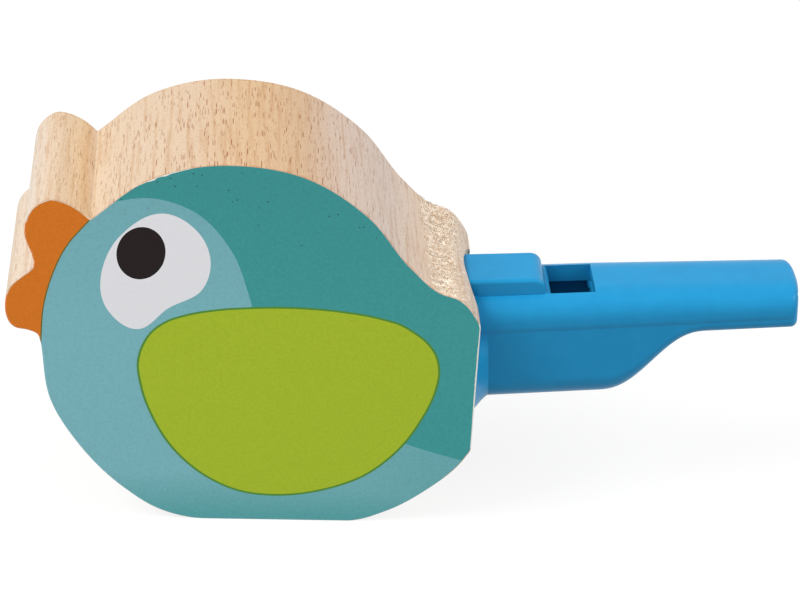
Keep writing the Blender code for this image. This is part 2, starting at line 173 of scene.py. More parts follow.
# Torn grain across the tail's hump: each end as x, its slant along y and its fade.
tornBand = {
    "start": (28.2, 0.04, 1.6), "end": (34.2, 0.05, 2.0),
    "beyond": 0.15,          # share that is left past the end
    "stop": (36.2, 1.0), "foot": (38.5, 1.5),   # last x and lowest z, and their fades
    "raw": (0.6, 0.1),       # shares past which the wood shows raw, with and without its patches
    "rimFade": 1.5, "rawRim": 0.5, "boreClear": (0.1, 0.4),
    "clumpMean": 0.6,        # share of its height that a tear keeps on average
    "cutterStretch": 0.05,   # the cutter's waves are drawn out along y
}

curveStep = 0.5              # spacing of the points along the print's curves


def trace(points, stepAt=None):
    # Closed polyline on cubic Bezier arms a third of each chord long, set along the
    # blended chords or the stated heading, its points curveStep or stepAt(x, z) apart.
    place = np.array([point[:2] for point in points], float)
    chord = np.roll(place, -1, axis=0) - place
    length = np.linalg.norm(chord, axis=1)
    before, behind = np.roll(chord, 1, axis=0), np.roll(length, 1)
    arrive = before / behind[:, None] ** 2 + chord / length[:, None] ** 2
    leave = arrive.copy()
    for index, point in enumerate(points):
        heading = point[2] if len(point) > 2 else None
        if heading == "corner":
            arrive[index], leave[index] = before[index], chord[index]
        elif heading is not None:
            angle = math.radians(heading)
            arrive[index] = leave[index] = (math.cos(angle), math.sin(angle))
    arrive *= (behind / 3 / np.linalg.norm(arrive, axis=1))[:, None]
    leave *= (length / 3 / np.linalg.norm(leave, axis=1))[:, None]
    after, arms = np.roll(place, -1, axis=0), np.roll(arrive, -1, axis=0)
    line = []
    for start, out, back, end, run in zip(place, leave, arms, after, length):
        size = stepAt(*start) if stepAt else curveStep
        t = np.linspace(0, 1, max(2, round(run / size)), endpoint=False)[:, None]
        line.append((1 - t) ** 3 * start + 3 * t * (1 - t) ** 2 * (start + out)
                    + 3 * t * t * (1 - t) * (end - back) + t ** 3 * end)
    return np.concatenate(line)


def outlineStep(x, z):
    left, foot = birdShape["fineFrom"]
    return birdShape["fineStep"] if x > left and z > foot else birdShape["step"]


def birdOutline():
    # the whole rim, clockwise from the beak's crease as the front is seen
    return trace(birdShape["headAndBack"] + birdShape["tailAndBelly"] + birdShape["beak"], outlineStep)


def sense(line):
    # sign of the enclosed area: 1 for anticlockwise, -1 for clockwise
    x, z = line.T
    return np.sign(np.sum(x * np.roll(z, -1) - z * np.roll(x, -1)))


def outward(line):
    # mitred outward normals: the sum of both edges' normals over 1 + their product
    ahead = np.roll(line, -1, axis=0) - line
    ahead /= np.linalg.norm(ahead, axis=1)[:, None]
    normal = np.stack([ahead[:, 1], -ahead[:, 0]], axis=1) * sense(line)
    behind = np.roll(normal, 1, axis=0)
    return (normal + behind) / (1 + np.sum(normal * behind, axis=1))[:, None]


def waves(place, name):
    # smooth wandering value: height * sum of sines along seeded directions / sqrt(count / 2)
    seed, counts, height = woodWaves[name]
    generator = np.random.default_rng(seed)
    total = 0.0
    for count in counts:
        direction = generator.normal(size=place.shape[-1])
        direction /= np.linalg.norm(direction)
        total = total + np.sin(place @ direction * count + generator.uniform(0, 6.28))
    return height * total / math.sqrt(len(counts) / 2)


def tornShare(place):
    # 1 in the middle of the torn band, 0 outside it: the product of a ramp at each side
    x, y, z = np.moveaxis(place, -1, 0)
    (start, startSlant, startFade), (end, endSlant, endFade) = tornBand["start"], tornBand["end"]
    (stop, stopFade), (foot, footFade) = tornBand["stop"], tornBand["foot"]
    band = np.clip((x - start + startSlant * y) / startFade, 0, 1)
    band *= np.clip((end + endSlant * y - x) / endFade, tornBand["beyond"], 1)
    return band * np.clip((stop - x) / stopFade, 0, 1) * np.clip((z - foot) / footFade, 0, 1)


def boreAway(place):
    # how far a place lies outside the bore's sanded rim, as seen along the bore
    centre = whistleShape["root"][1] - whistleShape["plug"]["drop"]
    rim = whistleShape["bore"]["radius"] + whistleShape["bore"]["rim"]
    return np.hypot(place[..., 1], place[..., 2] - centre) - rim


beechLooks = {
    "roughness": 0.6, "ior": 1.5, "specular": 0.2,
    "tones": [  # along the cut side from the beak's crease, anticlockwise as the front is seen
        # the palest stops just past the beak's crease are painted light, set paler to offset the crease's
        # shade
        (0.004, "F6E2C8"), (0.013, "E0BD92"), (0.019, "DCC09D"), (0.030, "CFB597"), (0.062, "D8CCBE"),
        (0.090, "D8C8B6"), (0.160, "D0BDA8"), (0.620, "CFBBA5"), (0.672, "DACABA"), (0.715, "E2CDB8"),
        (0.735, "DFC9B5"), (0.770, "D9C8BC"), (0.820, "D4BFAF"), (0.850, "C9AA8A"), (0.885, "CCAD89"),
        (0.925, "CDB59B"), (0.975, "D2BCA3"), (1.000, "D5C1A7")],
    "wander": 0.012,         # how far the tones stray along the cut side, as a share of it
    "wanderCells": (0.16, 0.02, 1),          # cells a mm, across and along the grain
    # streaks 0.8 x 17 mm and fibres 0.2 x 0.8 mm: cells a mm, roughness, tone, its range and share
    "streaks": ((1.3, 0.06, 1), 0.6, "E2C7A8", (0.28, 0.52), 0.65),
    "fibres": ((4.5, 1.3, 1), 0.7, "D9C8BC", (0.30, 0.50), 0.6),
    "fleck": "8A4A20", "scorch": "B07444",
    "ray": (0.25, 3.3),      # cell of one ray's end: across and along the grain
    "raySize": (0.24, 0.15), "rayEdge": 11.0, "rayBare": 0.62, "rayDepth": (0.55, 0.42),
    "rayCrowd": [(0.0, 0.6), (0.1, 0.45), (0.74, 0.45), (0.84, 0.9), (0.9, 1.0), (1.0, 0.75)],
    "scorchFrom": (15.6, 16.6), "scorchRagged": 3.0, "scorchShare": 0.5, "scorchCells": 0.8,
    "fibreHeight": 0.02, "fibreStrength": 0.35,
}


def beechFinish():
    # Sanded beech, cut along its grain: dull and pinkish pale. In the UV map u
    # runs along the cut side and v with the grain, in mm. The rays end in dark
    # spindles 1 to 3 mm long and 0.2 mm wide, the pores in fine streaks.
    looks = beechLooks
    finish, tree, shader, _ = newFinish("sandedBeech", looks)
    grain = addNode(tree, "UVMap", uv_map="grain")
    apart = addNode(tree, "SeparateXYZ", {0: grain})

    wander = addNode(tree, "TexNoise", {"Vector": addNode(tree, "Mapping", {
        "Vector": grain, "Scale": looks["wanderCells"]}), "Scale": 1.0, "Detail": 2.0})
    share = addNode(tree, "Math", {0: apart.outputs["X"], 1: 1 / birdShape["around"]}, operation="MULTIPLY")
    share = addNode(tree, "Math", {0: wander, 1: looks["wander"], 2: share}, operation="MULTIPLY_ADD")
    tone = addNode(tree, "ValToRGB", {0: share}, stops=looks["tones"])

    for name in ("streaks", "fibres"):
        size, rough, darkest, (start, end), most = looks[name]
        fine = addNode(tree, "TexNoise", {"Vector": addNode(tree, "Mapping", {
            "Vector": grain, "Scale": size}), "Scale": 1.0, "Detail": 3.0, "Roughness": rough})
        shade = addNode(tree, "ValToRGB", {0: fine}, stops=[(start, darkest), (end, "FFFFFF")])
        tone = addNode(tree, "Mix", {0: most, 6: tone, 7: shade}, data_type="RGBA", blend_type="MULTIPLY")

    # rays: each cell of a stretched Voronoi may hold one spindle of its own length
    wide, long = looks["ray"]
    cells = addNode(tree, "Mapping", {"Vector": grain, "Scale": (1 / wide, 1 / long, 1)})
    rays = addNode(tree, "TexVoronoi", {"Vector": cells, "Scale": 1.0}, voronoi_dimensions="2D")
    chance = addNode(tree, "SeparateColor", {0: rays.outputs["Color"]})
    (longer, shortest), (darker, faintest) = looks["raySize"], looks["rayDepth"]
    size = addNode(tree, "Math", {0: chance.outputs[1], 1: longer, 2: shortest}, operation="MULTIPLY_ADD")
    inside = addNode(tree, "Math", {0: size, 1: rays.outputs["Distance"]}, operation="SUBTRACT")
    inside = addNode(tree, "Math", {0: inside, 1: looks["rayEdge"]}, operation="MULTIPLY", use_clamp=True)
    held = addNode(tree, "Math", {0: chance.outputs[0], 1: looks["rayBare"]}, operation="GREATER_THAN")
    crowd = addNode(tree, "ValToRGB", {0: share}, stops=looks["rayCrowd"])
    depth = addNode(tree, "Math", {0: chance.outputs[2], 1: darker, 2: faintest}, operation="MULTIPLY_ADD")
    spindle = inside
    for factor in (held, depth, crowd):
        spindle = addNode(tree, "Math", {0: spindle, 1: factor}, operation="MULTIPLY")
    tone = addNode(tree, "Mix", {0: spindle, 6: tone, 7: looks["fleck"]}, data_type="RGBA")

    # the cutter's scorch, ragged and faint along both rims
    deep = addNode(tree, "Math", {0: apart.outputs["Y"]}, operation="ABSOLUTE")
    ragged = addNode(tree, "TexNoise", {"Vector": grain, "Scale": looks["scorchCells"], "Detail": 3.0})
    rim = addNode(tree, "Math", {0: ragged, 1: looks["scorchRagged"], 2: deep}, operation="MULTIPLY_ADD")
    start, full = looks["scorchFrom"]
    rimMask = addNode(tree, "MapRange", {0: rim, 1: start, 2: full, 3: 0.0, 4: looks["scorchShare"]})
    tone = addNode(tree, "Mix", {0: rimMask, 6: tone, 7: looks["scorch"]}, data_type="RGBA")
    tree.links.new(tone.outputs[2], shader.inputs["Base Color"])

    bump = addNode(tree, "Bump", {"Height": fine, "Distance": looks["fibreHeight"] * mm,
                                  "Strength": looks["fibreStrength"]})
    tree.links.new(bump.outputs[0], shader.inputs["Normal"])
    return finish


printLooks = {
    "roughness": 0.5, "ior": 1.48, "specular": 0.2,
    "beakOrange": "DF7A1E", "backTeal": "42A0A0", "headTeal": "80BDC6", "beakLine": "6A6A2A",
    "wingEdge": "569038", "wingLime": "AFC52D", "eyeWhite": "EEEEF2", "pupil": "180C0B",
    # the dark crown teal is painted shade, laid over the teal fields towards the top
    "bareRim": "F6F2EA", "paintedShadeTeal": "2C7272", "pore": "26302C", "speckle": "E2E2E2",
    "speckleCells": 2.6, "speckleRange": (0.32, 0.60),           # 2.6 a mm, so grains of 0.4 mm
    "speckleHeight": 0.02, "speckleStrength": 0.4,
    "overWood": 0.45, "overWhite": 0.1,      # how much of the speckle comes through
    "thinLow": (1.0, 9.0, 0.65), "thinRight": (-22.0, 4.0, 0.35),    # from, to and share
    # painted shade darkening the teal fields towards the crown: from, to and share
    "paintedShadeHigh": (36.0, 62.0, 0.16), "poreHigh": (49.0, 60.0, 0.90),
    "poreCells": 1.5, "poreSize": (0.12, 0.24, 0.8),     # core and edge in cells, and how dark
}


def printFinish(name):
    # Screen-printed ink on end grain: thin and matt, a fine speckle in its tone
    # from the wood under it, and a few open pores near the top of the back.
    looks = printLooks
    finish, tree, shader, place = newFinish(name, looks)
    tone = looks[name]
    apart = addNode(tree, "SeparateXYZ", {0: place})
    if name == "headTeal":   # laid thinner towards the belly, where the dark teal shows through
        start, end, most = looks["thinLow"]
        low = addNode(tree, "MapRange", {0: apart.outputs["Z"], 1: start, 2: end, 3: most, 4: 0.0})
        start, end, most = looks["thinRight"]
        right = addNode(tree, "MapRange", {0: apart.outputs["X"], 1: start, 2: end, 3: 0.0, 4: most})
        thin = addNode(tree, "Math", {0: low, 1: right}, operation="MAXIMUM")
        tone = addNode(tree, "Mix", {0: thin, 6: tone, 7: looks["backTeal"]}, data_type="RGBA")
    if name in ("backTeal", "headTeal"):   # and darkened towards the crown: painted shade, for the light falling off at the top
        start, end, most = looks["paintedShadeHigh"]
        high = addNode(tree, "MapRange", {0: apart.outputs["Z"], 1: start, 2: end, 3: 0.0, 4: most})
        tone = addNode(tree, "Mix", {0: high, 6: tone, 7: looks["paintedShadeTeal"]}, data_type="RGBA")
    speckle = addNode(tree, "TexNoise", {"Vector": place, "Scale": looks["speckleCells"],
                                         "Detail": 3.0, "Roughness": 0.7})
    start, end = looks["speckleRange"]
    shade = addNode(tree, "ValToRGB", {0: speckle}, stops=[(start, looks["speckle"]), (end, "FFFFFF")])
    over = looks["overWhite"] if name in ("eyeWhite", "bareRim") else looks["overWood"]
    tone = addNode(tree, "Mix", {0: over, 6: tone, 7: shade}, data_type="RGBA", blend_type="MULTIPLY")
    if name in ("backTeal", "headTeal"):
        pores = addNode(tree, "TexVoronoi", {"Vector": place, "Scale": looks["poreCells"]})
        chance = addNode(tree, "SeparateColor", {0: pores.outputs["Color"]})
        start, end, bare = looks["poreHigh"]
        bare = addNode(tree, "MapRange", {0: apart.outputs["Z"], 1: start, 2: end, 3: 1.0, 4: bare})
        held = addNode(tree, "Math", {0: chance.outputs[0], 1: bare}, operation="GREATER_THAN")
        core, edge, depth = looks["poreSize"]
        dot = addNode(tree, "MapRange", {0: pores.outputs["Distance"], 1: core, 2: edge, 3: depth, 4: 0.0})
        pore = addNode(tree, "Math", {0: dot, 1: held}, operation="MULTIPLY")
        tone = addNode(tree, "Mix", {0: pore, 6: tone, 7: looks["pore"]}, data_type="RGBA")
    tree.links.new(tone.outputs[2], shader.inputs["Base Color"])
    bump = addNode(tree, "Bump", {"Height": speckle, "Distance": looks["speckleHeight"] * mm,
                                  "Strength": looks["speckleStrength"]})
    tree.links.new(bump.outputs[0], shader.inputs["Normal"])
    return finish


def printedFace():
    # The flat face divided along its print, as points and faces with the number
    # of the field that each shows; a later field covers the earlier ones.
    shape = printShape
    outline = birdOutline()
    inward = -outward(outline)
    flat = outline + birdShape["edgeRound"] * inward
    strip = np.full(len(outline), shape["miss"])
    for centre, reach, width in shape["slivers"]:
        away = np.linalg.norm(outline - centre, axis=1) / reach
        ragged = shape["sliverMean"] + waves(outline, "slivers")
        strip += width * np.clip(1 - away ** 2, 0, 1) * ragged
    printed = flat + strip[:, None] * inward
    arc = trace(shape["beakArc"])
    arc = arc[:np.argmin(np.linalg.norm(arc - shape["beakArc"][-1][:2], axis=1)) + 1]
    far = 80.0               # well past the outline
    back = np.concatenate([arc, [(arc[-1][0], far), (far, far), (far, -far), (arc[0][0], -far)]])
    along = np.gradient(arc, axis=0)
    along /= np.linalg.norm(along, axis=1)[:, None]
    aside = np.stack([along[:, 1], -along[:, 0]], axis=1) * shape["beakLine"]
    longer = np.concatenate([arc[:1] - along[:1], arc[1:-1], arc[-1:] + along[-1:]])
    beakLine = np.concatenate([longer + aside, (longer - aside)[::-1]])
    wing = trace(shape["wing"])
    wingLine = shape["wingLine"] / 2 * outward(wing)
    tilt = math.radians(shape["pupilTilt"])
    turn = np.linspace(0, 2 * math.pi, shape["pupilPoints"], endpoint=False)
    wide, tall = shape["pupilRadii"][0] * np.cos(turn), shape["pupilRadii"][1] * np.sin(turn)
    pupil = shape["pupilCentre"] + np.stack([wide * math.cos(tilt) + tall * math.sin(tilt),
                                             tall * math.cos(tilt) - wide * math.sin(tilt)], axis=1)
    fields = [flat, printed, back, trace(shape["headPatch"]), beakLine,
              wing + wingLine, wing - wingLine, trace(shape["eyeWhite"]), pupil]
    points, loops = [], []
    for field in fields:
        loops.append(list(range(len(points), len(points) + len(field))))
        points += [Vector(point) for point in field[::int(sense(field))]]
    divided, _, faces, _, _, owners = delaunay_2d_cdt(points, [], loops, 1, 1e-4, True)
    bare, beak, back, beakEdge = 0, 1, 2, 4      # fields by their place in the list
    shown = []
    for corners, owner in zip(faces, owners):
        if bare not in owner:                    # outside the outline
            continue
        if beak not in owner:
            owner = [bare]
        elif back not in owner:                  # left of the arc only the beak and its line show
            owner = [beakEdge] if beakEdge in owner else [beak]
        shown.append((corners, max(owner)))
    return np.array(divided), shown


def birdBody():
    # Two printed faces joined by a grid: (rim point + inset(y) * outward normal, y),
    # the inset rising along a quarter circle at each rim.
    points, shown = printedFace()
    around = {edge for corners, _ in shown for edge in zip(corners, corners[1:] + corners[:1])}
    following = {first: second for first, second in around if (second, first) not in around}
    rim = [min(following, key=lambda index: np.linalg.norm(points[index] - birdShape["headAndBack"][0][:2]))]
    while following[rim[-1]] != rim[0]:
        rim.append(following[rim[-1]])
    line = points[rim]
    normal = outward(line)
    half, edge = birdShape["thickness"] / 2, birdShape["edgeRound"]
    bareRim, rawBeech = 9, 10                    # numbers of their finishes on the piece

    rimLevels = birdShape["rimLevels"]
    turn = np.linspace(0, math.pi / 2, rimLevels + 1)[1:]
    curl = np.stack([edge * (1 - np.cos(turn)) - half, edge * np.sin(turn)], axis=1)
    steps = np.linspace(curl[-1, 0], -curl[-1, 0], birdShape["sideLevels"] + 2)[1:-1]
    levels = np.concatenate([curl, np.stack([steps, np.full(len(steps), edge)], axis=1),
                             (curl * (-1, 1))[::-1]])
    grid = line[None] + levels[:, 1, None, None] * normal[None]
    across = np.broadcast_to(levels[:, 0, None], grid.shape[:2])
    sides = np.stack([grid[..., 0], across, grid[..., 1]], axis=-1)

    # torn grain on the tail's hump and faint cutter waves, fading to the rims and to the bore
    inner = np.clip((half - np.abs(across)) / tornBand["rimFade"], 0, 1)
    inner *= np.clip(boreAway(sides) - tornBand["boreClear"][0], 0, 1)
    rough = waves(sides, "tears") * (tornBand["clumpMean"] + waves(sides, "clumps")) + waves(sides, "fray")
    push = waves(sides * (1, tornBand["cutterStretch"], 1), "cutter") + tornShare(sides) * rough
    sides[..., 0] += push * inner * normal[None, :, 0]
    sides[..., 2] += push * inner * normal[None, :, 1]

    count, width = len(points), len(rim)
    front = np.stack([points[:, 0], np.full(count, -half), points[:, 1]], axis=1)
    place = np.concatenate([front, front * (1, -1, 1), sides.reshape(-1, 3)])
    sideRings = 2 * count + np.arange(len(levels) * width).reshape(len(levels), width)
    rings = np.concatenate([[rim], sideRings, [count + np.array(rim)]])
    quads = np.stack([rings[:-1], np.roll(rings[:-1], -1, 1), np.roll(rings[1:], -1, 1), rings[1:]], axis=-1)
    corners = quads.reshape(-1, 4).tolist()
    middle = place[quads].mean(axis=2)
    share, (patchy, least) = tornShare(middle), tornBand["raw"]
    raw = (share + waves(middle, "rawPatches") > patchy) & (share > least)
    raw &= np.abs(middle[..., 1]) < half - tornBand["rawRim"]
    fields = np.where(raw, rawBeech, 0)
    # the ink wraps the rounded rims below and towards the beak, where they aren't sanded through
    inked = {index: field for triangle, field in shown if field for index in triangle}
    near = np.array(list(inked))
    closest = near[np.argmin(np.linalg.norm(line[:, None] - points[near][None], axis=-1), axis=1)]
    wrapped = np.all(normal < printShape["wrapBelow"], axis=1)
    rubbed = normal[:, 0] > printShape["rubbedPast"]
    ink = [inked[index] for index in closest]
    for level in range(rimLevels):
        for row in (level, -1 - level):
            fields[row] = np.where(wrapped, ink, np.where(rubbed, bareRim, fields[row]))
    fields = fields.reshape(-1).tolist()
    for triangle, field in shown:
        corners += [list(triangle), [index + count for index in triangle[::-1]]]
        fields += [field or bareRim] * 2
    mesh = bpy.data.meshes.new("birdWood")
    mesh.from_pydata(((place - (birdShape["centreX"], 0, 0)) * mm).tolist(), [], corners)
    mesh.polygons.foreach_set("material_index", fields)
    run = np.linalg.norm(np.roll(line, -1, axis=0) - line, axis=1)
    start = np.cumsum(run) - run
    u = np.broadcast_to(np.stack([start, start + run, start + run, start], axis=1), quads.shape)
    grain = np.stack([u, place[quads][..., 1]], axis=-1).reshape(-1, 2)
    flatLoops = np.zeros((len(mesh.loops) - len(grain), 2))
    mesh.uv_layers.new(name="grain").data.foreach_set("uv", np.concatenate([grain, flatLoops]).ravel())
    settle(mesh)
    mesh.materials.append(beechFinish())
    for name in ("beakOrange", "backTeal", "headTeal", "beakLine", "wingEdge", "wingLime",
                 "eyeWhite", "pupil", "bareRim"):
        mesh.materials.append(printFinish(name))
    mesh.materials.append(rawFinish())
    return newObject("birdWood", mesh)


fibreLooks = {
    "roughness": 0.7, "ior": 1.5, "specular": 0.2, "pale": "FFF3E4", "dark": "E3C8A8",
    "cells": 1.9, "range": (0.40, 0.54),     # 1.9 a mm, so patches of 0.5 mm
}


def rawFinish():
    # Raw torn beech: paler and duller than where it is sanded.
    looks = fibreLooks
    finish, tree, shader, place = newFinish("rawBeech", looks)
    patches = addNode(tree, "TexNoise", {"Vector": place, "Scale": looks["cells"],
                                         "Detail": 3.0, "Roughness": 0.7})
    start, end = looks["range"]
    tone = addNode(tree, "ValToRGB", {0: patches}, stops=[(start, looks["dark"]), (end, looks["pale"])])
    tree.links.new(tone.outputs[0], shader.inputs["Base Color"])
    return finish


fibreShape = {
    "count": 3000, "length": (0.3, 1.1), "radius": 0.065, "thickness": (0.7, 1.4), "taper": 0.75,
    "steps": 5, "corners": 3, "seed": 31,
    "across": (-13.8, 14.0), "rows": 60, "stray": 0.24, "limit": 14.3,
    "heading": 1.1, "bend": 1.5, "lift": (0.12, 0.03), "sunk": 0.03,
}


def tornFibres():
    # Curls of torn grain: each a three-sided tapering tube along root + run along
    # the grain + run across it + (lift * sin(pi t) - sunk) * out, bending as it goes.
    shape = fibreShape
    random = np.random.default_rng(shape["seed"])
    count, rows = shape["count"], shape["rows"]
    line = birdOutline()
    normal = outward(line)
    first, last = shape["across"]
    levels = np.repeat(np.linspace(first, last, rows), len(line))
    spots = np.stack([np.tile(line[:, 0], rows), levels, np.tile(line[:, 1], rows)], axis=1)
    share = tornShare(spots) * (boreAway(spots) > tornBand["boreClear"][1])      # none hangs over the bore
    pick = random.choice(len(spots), count, p=share / share.sum())
    across = spots[pick, 1] + random.uniform(-shape["stray"], shape["stray"], count)
    across = across.clip(first - 0.1, last + 0.1)
    pick = pick % len(line)
    root = np.stack([line[pick, 0], across, line[pick, 1]], axis=1)
    out = np.stack([normal[pick, 0], 0 * across, normal[pick, 1]], axis=1)
    side = np.stack([out[:, 2], 0 * across, -out[:, 0]], axis=1)
    grain = np.array([0.0, 1.0, 0.0])
    length = random.uniform(*shape["length"], count)
    heading = random.normal(0.0, shape["heading"], count) + math.pi * random.integers(0, 2, count)
    bend = random.normal(0.0, shape["bend"], count)
    spread, least = shape["lift"]
    lift = np.abs(random.normal(0.0, spread, count)) + least
    t = np.linspace(0, 1, shape["steps"])
    angle = heading[:, None] + bend[:, None] * t
    step = length[:, None] / shape["steps"]
    alongRun = np.cumsum(np.cos(angle) * step, axis=1)
    sideRun = np.cumsum(np.sin(angle) * step, axis=1)
    height = lift[:, None] * np.sin(math.pi * t) - shape["sunk"]
    spine = (root[:, None] + alongRun[..., None] * grain + sideRun[..., None] * side[:, None]
             + height[..., None] * out[:, None])
    radius = shape["radius"] * random.uniform(*shape["thickness"], count)[:, None] * (1 - shape["taper"] * t)
    leftward = -np.sin(angle)[..., None] * grain + np.cos(angle)[..., None] * side[:, None]
    corner = np.arange(shape["corners"]) * 2 * math.pi / shape["corners"]
    ring = (np.cos(corner)[:, None] * leftward[:, :, None] + np.sin(corner)[:, None] * out[:, None, None])
    tube = spine[:, :, None] + radius[:, :, None, None] * ring
    tube[..., 1] = np.clip(tube[..., 1], -shape["limit"], shape["limit"])
    number = np.arange(tube.size // 3).reshape(tube.shape[:3])
    turned = np.roll(number, -1, axis=2)
    quads = np.stack([number[:, :-1], turned[:, :-1], turned[:, 1:], number[:, 1:]], axis=-1).reshape(-1, 4)
    caps = np.concatenate([number[:, 0, ::-1], number[:, -1]])
    mesh = bpy.data.meshes.new("tornFibres")
    place = (tube.reshape(-1, 3) - (birdShape["centreX"], 0, 0)) * mm
    mesh.from_pydata(place.tolist(), [], quads.tolist() + caps.tolist())
    settle(mesh)
    mesh.shade_smooth()
    mesh.materials.append(bpy.data.materials["rawBeech"])
    return newObject("tornFibres", mesh)


# The whistle in its own frame: x from the wood along the barrel, z up from its middle.
whistleShape = {
    "root": (37.0, 32.5), "rise": 4.0, "length": 51.3,
    "rootHalf": 7.8, "mouthHalf": 7.0,
    "crown": 4.35, "crownDraft": 0.7, "crownHalf": 1.6,
    "chamberDepth": 14.65, "mouthDepth": 3.2, "chamberFoot": 4.8, "mouthFoot": 2.0,
    "curve": (19.6, 37.4), "mouthRound": 1.0, "mouthBulge": 0.75, "crease": 1.0, "undercut": 0.17,
    "flareLength": 2.0, "flareHalf": 11.3, "flareDrop": 1.3, "flareFall": 5.0, "flarePower": 1.2,
    "hump": {"height": 6.8, "fall": 0.22, "half": 4.55, "nose": 1.9, "edge": 0.6},
    "window": {"start": 11.7, "length": 7.6, "half": 4.4, "gap": 0.3, "slope": 0.5, "drop": 0.5},
    "plug": {"radius": 10.7, "length": 17.0, "drop": 3.1, "lip": 0.5, "step": 2.9},
    "bore": {"radius": 11.0, "depth": 20.0, "rim": 1.0},
    "wall": 1.4, "floorWall": 2.2, "ceiling": 1.1, "blockWall": 1.4, "chamberEnd": 31.0,
    "throatDepth": 10.0, "innerShoulder": 1.5, "innerFoot": 3.0,
    "slot": ((4.2, 1.1, 1.4), (5.0, 0.2, 2.4)),      # its half width, floor and height at both ends
    "over": 1.0,             # how far a cut reaches past what it opens
    "gap": 0.3,              # between the collar and the wood
    "sides": 160,            # flats around the plug and the bore
    "rings": {"collar": 9, "sweep": 60, "barrel": 12, "mouth": 10, "nose": 16, "chamber": 24},
}
rise = math.radians(whistleShape["rise"])
whistleRoot = Vector((whistleShape["root"][0] - birdShape["centreX"], 0, whistleShape["root"][1])) * mm
whistleFrame = Matrix.Translation(whistleRoot) @ Matrix.Rotation(-rise, 4, "Y")


def ringSection(half, top, bottom, shoulder, foot, spread=0.0, fall=5.0,
                crease=0.8, undercut=0.0, power=2.6, count=24):
    # Ring from the top's right edge round to its left: a shoulder (sin t, cos t)
    # ^ (2 / power) that turns in under its widest by undercut, a crisp crease, a
    # flank that spreads by u^2 (3 - 2 u) over its fall, and a quarter-circle foot.
    turn = np.linspace(0, math.pi / 2, count)
    width, height = shoulder
    level = top - height
    under = np.linspace(0, 1, 5)[1:]
    room = bottom - foot + level - crease
    down = np.linspace(0, 1, 9)[1:-1] * min(fall, 0.9 * room)
    share = down / fall
    side = half + spread
    y = np.concatenate([half - width + width * np.sin(turn) ** (2 / power), half - undercut * under ** 2,
                        half - undercut + spread * share ** 2 * (3 - 2 * share),
                        side - undercut - foot + foot * np.cos(turn)])
    z = np.concatenate([level + height * np.maximum(np.cos(turn), 0) ** (2 / power), level - crease * under,
                        level - crease - down, -bottom + foot - foot * np.sin(turn)])
    return np.concatenate([y, -y[::-1]]), np.concatenate([z, z[::-1]])


def sweepUp(x):
    # smootherstep t^3 (6 t^2 - 15 t + 10) from the chamber to the mouthpiece
    start, end = whistleShape["curve"]
    t = min(max((x - start) / (end - start), 0.0), 1.0)
    return t ** 3 * (6 * t * t - 15 * t + 10)


def barrelHalf(x):
    # half width, straight from the root to the mouth
    shape = whistleShape
    return shape["rootHalf"] + (shape["mouthHalf"] - shape["rootHalf"]) * x / shape["length"]


def depthAt(share):
    # the underside's depth, from the chamber's at 0 to the mouthpiece's at 1
    start, end = whistleShape["chamberDepth"], whistleShape["mouthDepth"]
    return start + (end - start) * share


def outerRing(x, shrink=0.0, flare=0.0):
    # the moulding's outside at x; flare 1 is the collar's widest ring
    shape = whistleShape
    t = sweepUp(x)
    half = barrelHalf(x) - shrink
    curveStart = shape["curve"][0]
    fallen = max(x - curveStart, 0) / (shape["length"] - curveStart)
    top = shape["crown"] - shape["crownDraft"] * fallen - shrink
    foot = shape["chamberFoot"] + (shape["mouthFoot"] - shape["chamberFoot"]) * t - shrink
    drop = shape["flareDrop"] * flare
    return ringSection(half, top, depthAt(t) - shrink + drop, (half - shape["crownHalf"] + shrink, top),
                       foot + drop, (shape["flareHalf"] - half) * flare, shape["flareFall"],
                       shape["crease"], shape["undercut"])


def innerRing(x, ceiling, floor=None):
    # the hollow at x, a wall inside the outer ring
    shape = whistleShape
    if floor is None:
        floor = depthAt(sweepUp(x + shape["wall"])) - shape["floorWall"]
    shoulder = shape["innerShoulder"]
    room = floor + ceiling - shoulder
    foot = min(shape["innerFoot"], room * 0.9)
    return ringSection(barrelHalf(x) - shape["wall"], ceiling, floor, (shoulder, shoulder), foot,
                       crease=(room - foot) / 4, power=2, count=8)


def lofted(name, rings):
    # closed solid through rings of (x, y, z) points in the whistle's frame
    rings = np.array(rings)
    levels, width = rings.shape[:2]
    index = np.arange(levels * width).reshape(levels, width)
    quads = np.stack([index[:-1], np.roll(index[:-1], -1, 1), np.roll(index[1:], -1, 1), index[1:]], axis=-1)
    faces = quads.reshape(-1, 4).tolist() + [index[0][::-1].tolist(), index[-1].tolist()]
    mesh = bpy.data.meshes.new(name)
    mesh.from_pydata((rings.reshape(-1, 3) * mm).tolist(), [], faces)
    settle(mesh, whistleFrame)
    return newObject(name, mesh)


def placed(x, ring, lean=0.0, bulge=0.0, halfWidth=7.0):
    # a section set at x, leaning with its height, pushed out by bulge (1 - (y / half)^2)
    y, z = ring
    return np.stack([x + z * lean + bulge * (1 - (y / halfWidth) ** 2), y, z], axis=1)


def circle(x, radius, lean=0.0):
    # ring (x + z * lean, radius cos, radius sin - drop) about the plug's axis
    angle = (np.arange(whistleShape["sides"]) + 0.5) * 2 * math.pi / whistleShape["sides"]
    z = radius * np.sin(angle) - whistleShape["plug"]["drop"]
    return np.stack([x + z * lean, radius * np.cos(angle), z], axis=1)


def rod(name, radius, start, end, lean=0.0):
    # straight round rod, its far end leaning
    return lofted(name, [circle(start, radius), circle(end, radius, lean)])


def boreCut():
    # the bore turned about its axis, widening at 45 degrees over its sanded rim
    bore = whistleShape["bore"]
    wide, depth, rim = bore["radius"], bore["depth"], bore["rim"]
    return lofted("bore", [circle(-depth, wide), circle(-rim, wide), circle(0.0, wide + rim),
                           circle(depth, wide + rim)])


